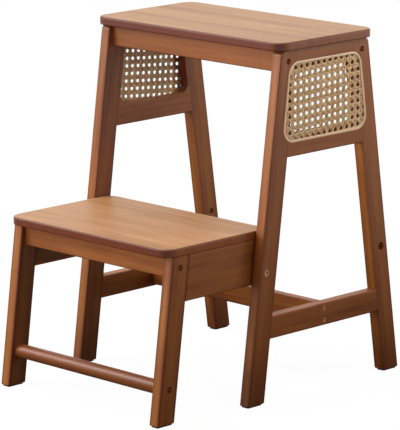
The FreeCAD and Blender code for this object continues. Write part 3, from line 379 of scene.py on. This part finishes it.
def rounded_outline(inset, arc_points=13):
    """The cane's outline in millimetres of Y and Z, drawn in by an inset, and its outward normals.

    Four sides, two level and two leaning, are joined by arcs that touch both: an arc's centre is on the
    corner's bisector, radius / cos(bend / 2) from the corner, and it turns from one side's normal to the
    next.
    """
    heights = np.array([CANE_BOTTOM + inset, CANE_BOTTOM + inset, CANE_TOP - inset, CANE_TOP - inset])
    ends = np.array([-1.0, 1.0, 1.0, -1.0])
    edge = LEG_HALF_SPREAD - LEG_LEAN * heights
    corners = np.stack([MIDDLE_Y + ends * (edge - CANE_MARGIN - inset), heights], axis=1)
    leaves = np.roll(corners, -1, axis=0) - corners
    leaves /= np.linalg.norm(leaves, axis=1, keepdims=True)
    arrives = np.roll(leaves, 1, axis=0)
    bend = np.arccos(np.sum(leaves * arrives, axis=1))
    inward = leaves - arrives
    inward /= np.linalg.norm(inward, axis=1, keepdims=True)
    radius = CANE_CORNER - inset
    centres = corners + inward * (radius / np.cos(bend / 2))[:, None]
    turn = np.arctan2(-arrives[:, 0], arrives[:, 1])[:, None] + bend[:, None] * np.linspace(0, 1, arc_points)
    normals = np.stack([np.cos(turn), np.sin(turn)], axis=2)
    return centres[:, None] + radius * normals, normals


def clip(outline, origin, direction):
    """Where straight lines enter and leave a convex outline, and which of them do.

    A line enters at the last entry and leaves at the first exit over the lines through the outline's edges.
    """
    edge = np.roll(outline, -1, axis=0) - outline
    keep = np.linalg.norm(edge, axis=1) > TINY
    edge, base = edge[keep], outline[keep]
    normal = np.stack([-edge[:, 1], edge[:, 0]], axis=1)
    reach = np.einsum("ej,sej->se", normal, base[None] - origin[:, None])
    rate = direction @ normal.T
    with np.errstate(divide="ignore", invalid="ignore"):
        cross = reach / rate
    enter = np.where(rate > TINY, cross, -np.inf).max(axis=1)
    leave = np.where(rate < -TINY, cross, np.inf).min(axis=1)
    outside = np.any((np.abs(rate) <= TINY) & (reach > 0), axis=1)
    return enter, leave, (leave - enter > LEAST_STRAND) & ~outside


def strand_families():
    """Starts and directions of the four families of strands, counted in steps of the weave.

    Openings sit at whole numbers, so the pairs run half a step to each side of them and the diagonals pass
    half-way between neighbouring openings.
    """
    middles = np.arange(-WEAVE_REACH, WEAVE_REACH + 1)[:, None] + 0.5
    pair = (middles + np.array([-PAIR_GAP / 2, PAIR_GAP / 2]) / PITCH).ravel()
    odd = np.tile([-1.0, 1.0], len(middles))
    slant = np.arange(-2 * WEAVE_REACH, 2 * WEAVE_REACH + 1) + 0.5
    level, flat, one = np.zeros_like(pair), np.zeros_like(slant), np.ones_like(slant)
    return [
        ("upright", np.stack([pair, level], axis=1), (0.0, 1.0), odd),
        ("level", np.stack([level, pair], axis=1), (1.0, 0.0), odd),
        ("rising", np.stack([slant, flat], axis=1), (1.0, 1.0), one),
        ("falling", np.stack([slant, flat], axis=1), (1.0, -1.0), one),
    ]


def weave_height(across, family, odd):
    """How far a strand rises out of the middle plane along its way, from its place counted in steps.

    A strand of a pair goes over one strand of the crossing pair and under the other: an odd bump at each
    crossing, x exp((1 - x x) / 2), where x is 1 at half the gap. A diagonal goes over the upright pairs and
    under the level ones, as a cosine of one step, and the other diagonal does the opposite.
    """
    if family in ("upright", "level"):
        run = across[..., 1] if family == "upright" else across[..., 0]
        from_crossing = (run - np.floor(run) - 0.5) * PITCH / (PAIR_GAP / 2)
        bump = from_crossing * np.exp(0.5 * (1 - from_crossing ** 2))
        sign = 1.0 if family == "upright" else -1.0
        return sign * WEAVE_RISE * odd[:, None] * bump
    sign = 1.0 if family == "rising" else -1.0
    return -sign * DIAGONAL_RISE * np.cos(2 * np.pi * across[..., 0])


def sweep(centre, sideways, normal, profile):
    """Points of a profile carried along paths: centre + profile x * sideways + profile y * normal."""
    width, rise = profile[:, 0], profile[:, 1]
    return (centre[..., None, :] + width[:, None] * sideways[..., None, :]
            + rise[:, None] * normal[..., None, :])


def tube_faces(paths, steps, ring, start=0):
    """Quads round each path's rings, and one face at each end."""
    base = start + (np.arange(paths) * steps * ring)[:, None, None]
    row = (np.arange(steps - 1) * ring)[None, :, None]
    here = np.arange(ring)[None, None, :]
    there = np.roll(np.arange(ring), -1)[None, None, :]
    low, high = base + row, base + row + ring
    quads = np.stack([low + here, low + there, high + there, high + here], axis=-1).reshape(-1, 4)
    first = base[:, 0] + np.arange(ring)[::-1]
    last = base[:, 0] + (steps - 1) * ring + np.arange(ring)
    return quads.tolist() + first.tolist() + last.tolist()


def mesh_object(name, points, faces, material, uv_name=None, uv=None, tone=None):
    """A piece from points in metres, with its UV map and its strands' tones."""
    mesh = bpy.data.meshes.new(name)
    mesh.from_pydata(points.reshape(-1, 3).tolist(), [], faces)
    if uv is not None:
        layer = mesh.uv_layers.new(name=uv_name)
        corner = np.empty(len(mesh.loops), dtype=np.int32)
        mesh.loops.foreach_get("vertex_index", corner)
        layer.data.foreach_set("uv", uv.reshape(-1, 2)[corner].astype(np.float32).ravel())
    if tone is not None:
        attribute = mesh.attributes.new("strand_tone", "FLOAT", "POINT")
        attribute.data.foreach_set("value", tone.astype(np.float32).ravel())
    mesh.materials.append(material)
    solid = bmesh.new()
    solid.from_mesh(mesh)
    bmesh.ops.recalc_face_normals(solid, faces=solid.faces)
    solid.to_mesh(mesh)
    solid.free()
    mesh.shade_smooth()
    mesh.set_sharp_from_angle(angle=math.radians(SHARP_DEGREES))
    piece = bpy.data.objects.new(name, mesh)
    bpy.context.scene.collection.objects.link(piece)
    return piece


def woven_cane(side_name, material):
    """Cane webbing: pairs of strands upright and level, and two diagonals that cut the openings' corners."""
    side = SIDES[side_name]
    outline = rounded_outline(STRAND_INSET)[0].reshape(-1, 2)
    base, steps_yz = np.array(WEAVE[side_name][0]), np.array(WEAVE[side_name][1:])
    luck = np.random.default_rng(WEAVE_SEED[side_name])
    half, thick = STRAND_WIDTH / 2, STRAND_THICKNESS / 2
    profile = np.array([(-half, -thick), (half, -thick), (half, 0.0), (half / 2, thick), (-half / 2, thick),
                        (-half, 0.0)])
    points, faces, uvs, tones, used = [], [], [], [], 0
    for family, starts, direction, odd in strand_families():
        origin = base + starts @ steps_yz
        direction = np.array(direction) @ steps_yz
        direction /= np.linalg.norm(direction)
        enter, leave, inside = clip(outline, origin, np.tile(direction, (len(origin), 1)))
        origin, enter, leave, odd = origin[inside], enter[inside], leave[inside], odd[inside]
        steps = int((leave - enter).max() / PITCH * RINGS) + 1
        way = enter[:, None] + (leave - enter)[:, None] * np.linspace(0, 1, steps)
        path = origin[:, None] + way[..., None] * direction
        lift = weave_height((path - base) @ np.linalg.inv(steps_yz), family, odd)
        centre = np.empty((*path.shape[:2], 3))
        centre[..., 0] = side * (RECESS_FLOOR + WEAVE_MIDDLE + lift)
        centre[..., 1:] = path
        normal = np.broadcast_to(np.array([side, 0.0, 0.0]), centre.shape)
        across = np.array([0.0, -direction[1], direction[0]]) * -side
        sideways = np.broadcast_to(across, centre.shape)
        solid = sweep(centre, sideways, normal, profile)
        count = len(origin)
        points.append(solid.reshape(-1, 3))
        faces += tube_faces(count, steps, len(profile), used)
        used += count * steps * len(profile)
        start = luck.uniform(0, PATTERN_START, count)
        uv = np.empty((count, steps, len(profile), 2))
        uv[..., 0] = (way + start[:, None])[..., None]
        uv[..., 1] = profile[:, 0]
        uvs.append(uv.reshape(-1, 2))
        tone = np.clip(luck.normal(TONE_MEAN, TONE_DEVIATION, count), TONE_LEAST, TONE_MOST)
        tones.append(np.repeat(tone, steps * len(profile)))
    name = f"{side_name}_woven_cane"
    piece = mesh_object(name, np.concatenate(points) * MM, faces, material, "strand", np.concatenate(uvs),
                        np.concatenate(tones))
    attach(piece, "main_frame")
    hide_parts(f"{side_name}_cane_panel")


def reed_spline(side_name, material):
    """The reed round the cane: a half-round profile carried along the outline, its two ends butted below.

    The profile is a rectangle with half an ellipse on top, and the run starts and ends half-way along the
    lower side, with a hairline between the ends.
    """
    side = SIDES[side_name]
    arcs, normals = rounded_outline(SPLINE_CENTRE)
    middle = (arcs[0, -1] + arcs[1, 0]) / 2
    gap, down = np.array([REED_GAP / 2, 0.0]), np.array([[0.0, -1.0]])
    path = np.concatenate([[middle + gap], np.roll(arcs, -1, axis=0).reshape(-1, 2), [middle - gap]])
    outward = np.concatenate([down, np.roll(normals, -1, axis=0).reshape(-1, 2), down])
    turn = np.linspace(0, np.pi, CROWN_POINTS)
    half = REED_WIDTH / 2
    crown = np.stack([half * np.cos(turn), REED_SHOULDER + REED_CROWN * np.sin(turn)], axis=1)
    profile = np.concatenate([[(-half, 0.0), (half, 0.0)], crown])
    centre = np.empty((1, len(path), 3))
    centre[..., 0] = side * RECESS_FLOOR
    centre[..., 1:] = path
    sideways = np.zeros_like(centre)
    sideways[..., 1:] = outward
    rise = np.broadcast_to(np.array([side, 0.0, 0.0]), centre.shape)
    length = np.concatenate([[0.0], np.cumsum(np.linalg.norm(np.diff(path, axis=0), axis=1))])
    girth = np.concatenate([[0.0], np.cumsum(np.linalg.norm(np.diff(profile, axis=0), axis=1))])
    uv = np.stack(np.broadcast_arrays(length[:, None], girth[None]), axis=-1)
    piece = mesh_object(f"{side_name}_reed_spline", sweep(centre, sideways, rise, profile) * MM,
                        tube_faces(1, len(path), len(profile)), material, "reed", uv)
    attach(piece, "main_frame")
    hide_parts(f"{side_name}_cane_spline")


cane = natural_cane()
reed = rattan_reed()
for side_name in SIDES:
    woven_cane(side_name, cane)
    reed_spline(side_name, reed)


# Stage
# The floor: half its side, where its painted shade ends and its full white begins, and its white next to the
# stool
FLOOR_HALF, SHADE_END, WHITE_FROM, NEAR_WHITE = 8.0, 0.7, 1.6, 0.965


def rays(tree, *names):
    """1 for rays of any of these kinds."""
    kinds = [add(tree, "ShaderNodeLightPath", out=f"Is {name} Ray") for name in names]
    found = kinds[0]
    for kind in kinds[1:]:
        found = add(tree, "ShaderNodeMath", {0: found, 1: kind}, operation="MAXIMUM")
    return found


def pale_floor():
    """A pale floor: a dim diffuse surface that keeps the shadow, plus white for the rays that show it.

    The white is full from about a metre and a half away. Nearer, the white fades as a painted shade of the
    stool: the camera still sees almost all of it, and the gloss of the feet shows a floor that is in the
    stool's own shade.
    """
    material, tree = new_material("pale_floor")
    surface = add(tree, "ShaderNodeBsdfDiffuse", {"Color": colour("#4b4b4b")})
    place = add(tree, "ShaderNodeTexCoord", out="Object")
    distance = add(tree, "ShaderNodeVectorMath", {0: place}, out="Value", operation="LENGTH")
    far = add(tree, "ShaderNodeMapRange", {"Value": distance, "From Min": SHADE_END, "From Max": WHITE_FROM},
              interpolation_type="SMOOTHSTEP")
    near_white = add(tree, "ShaderNodeMapRange", {"Value": far, "To Min": NEAR_WHITE, "To Max": 1.0})
    seen = add(tree, "ShaderNodeMath", {0: rays(tree, "Camera"), 1: near_white}, operation="MULTIPLY")
    seen = add(tree, "ShaderNodeMath", {0: rays(tree, "Glossy", "Transmission"), 1: far, 2: seen},
               operation="MULTIPLY_ADD")
    glow = add(tree, "ShaderNodeEmission", {"Color": WHITE, "Strength": seen})
    both = add(tree, "ShaderNodeAddShader", {0: surface, 1: glow})
    add(tree, "ShaderNodeOutputMaterial", {"Surface": both})
    corners = FLOOR_HALF * np.array([(-1, -1, 0), (1, -1, 0), (1, 1, 0), (-1, 1, 0)])
    floor = mesh_object("floor", corners, [[0, 1, 2, 3]], material)


def white_world():
    """A sky that is white where it is seen and gives no light."""
    world = bpy.data.worlds.new("studio")
    bpy.context.scene.world = world
    world.use_nodes = True
    tree = world.node_tree
    tree.nodes.clear()
    dark = add(tree, "ShaderNodeBackground", {"Color": WHITE, "Strength": 0.0})
    white = add(tree, "ShaderNodeBackground", {"Color": WHITE, "Strength": 1.0})
    mixed = add(tree, "ShaderNodeMixShader",
                {0: rays(tree, "Camera", "Glossy", "Transmission"), 1: dark, 2: white})
    add(tree, "ShaderNodeOutputWorld", {"Surface": mixed})


def softbox(name, aim, distance, azimuth, elevation, size, power, spread=180.0, gloss=False):
    """A square soft light turned to a point, in metres and watts.

    Azimuth is from the front to the right, in degrees. A narrow spread keeps the light on one place, and
    gloss says whether shiny faces show the light.
    """
    light = bpy.data.lights.new(name, "AREA")
    light.shape, light.size, light.energy, light.spread = "SQUARE", size, power, math.radians(spread)
    lamp = bpy.data.objects.new(name, light)
    turn, rise = math.radians(azimuth), math.radians(elevation)
    back = Vector((math.sin(turn) * math.cos(rise), -math.cos(turn) * math.cos(rise), math.sin(rise)))
    place = Vector(aim) + distance * back
    lamp.matrix_world = Matrix.Translation(place) @ back.to_track_quat("Z", "Y").to_matrix().to_4x4()
    lamp.visible_glossy = gloss
    bpy.context.scene.collection.objects.link(lamp)


def camera():
    """The photograph's view: target, distance, azimuth, elevation and roll, through a long lens."""
    azimuth, elevation, roll = (math.radians(angle) for angle in (45.31, 12.38, -0.344))
    target, distance, lens = Vector((31.79, -22.63, 241.76)) * MM, 4.432, 265.7
    back = Vector((math.sin(azimuth) * math.cos(elevation), -math.cos(azimuth) * math.cos(elevation),
                   math.sin(elevation)))
    right = Vector((math.cos(azimuth), math.sin(azimuth), 0))
    up = back.cross(right)
    right, up = (math.cos(roll) * right + math.sin(roll) * up, math.cos(roll) * up - math.sin(roll) * right)
    data = bpy.data.cameras.new("camera")
    data.lens, data.sensor_width, data.sensor_fit = lens, 36.0, "AUTO"
    eye = bpy.data.objects.new("camera", data)
    turned = Matrix((right, up, back)).transposed().to_4x4()
    eye.matrix_world = Matrix.Translation(target + distance * back) @ turned
    bpy.context.scene.collection.objects.link(eye)
    bpy.context.scene.camera = eye


pale_floor()
white_world()
# Points that lights are turned to
MIDDLE, SEAT_RIGHT, ABOVE_RIGHT = (0.0, 0.0, 0.3), (0.1, 0.05, 0.45), (0.1, 0.05, 0.6)
LEG_FRONT, STEP_FRONT = (0.17, -0.02, 0.42), (0.05, -0.1, 0.12)
softbox("side_left", MIDDLE, 1.7, -48, 25, 0.8, 11.9, gloss=True)
softbox("top_left", MIDDLE, 1.7, -60, 68, 0.8, 16.4, gloss=True)
softbox("right_rear", MIDDLE, 1.7, 120, 45, 0.8, 7.6)
softbox("low_right", SEAT_RIGHT, 0.95, 135, 5, 0.4, 1.6)
softbox("right_sheen", ABOVE_RIGHT, 0.95, 135, 5, 0.4, 0.19, 60.0, gloss=True)
softbox("front_right", ABOVE_RIGHT, 0.95, 45, 20, 0.4, 0.24, 60.0)
softbox("leg_front", LEG_FRONT, 0.95, -20, 12, 0.3, 0.07, 35.0, gloss=True)
softbox("step_front", STEP_FRONT, 0.95, -10, 5, 0.4, 0.35, 60.0)
softbox("step_right", STEP_FRONT, 0.95, 78, 8, 0.4, 0.13, 60.0)
camera()
bpy.context.scene.view_settings.view_transform = "Standard"
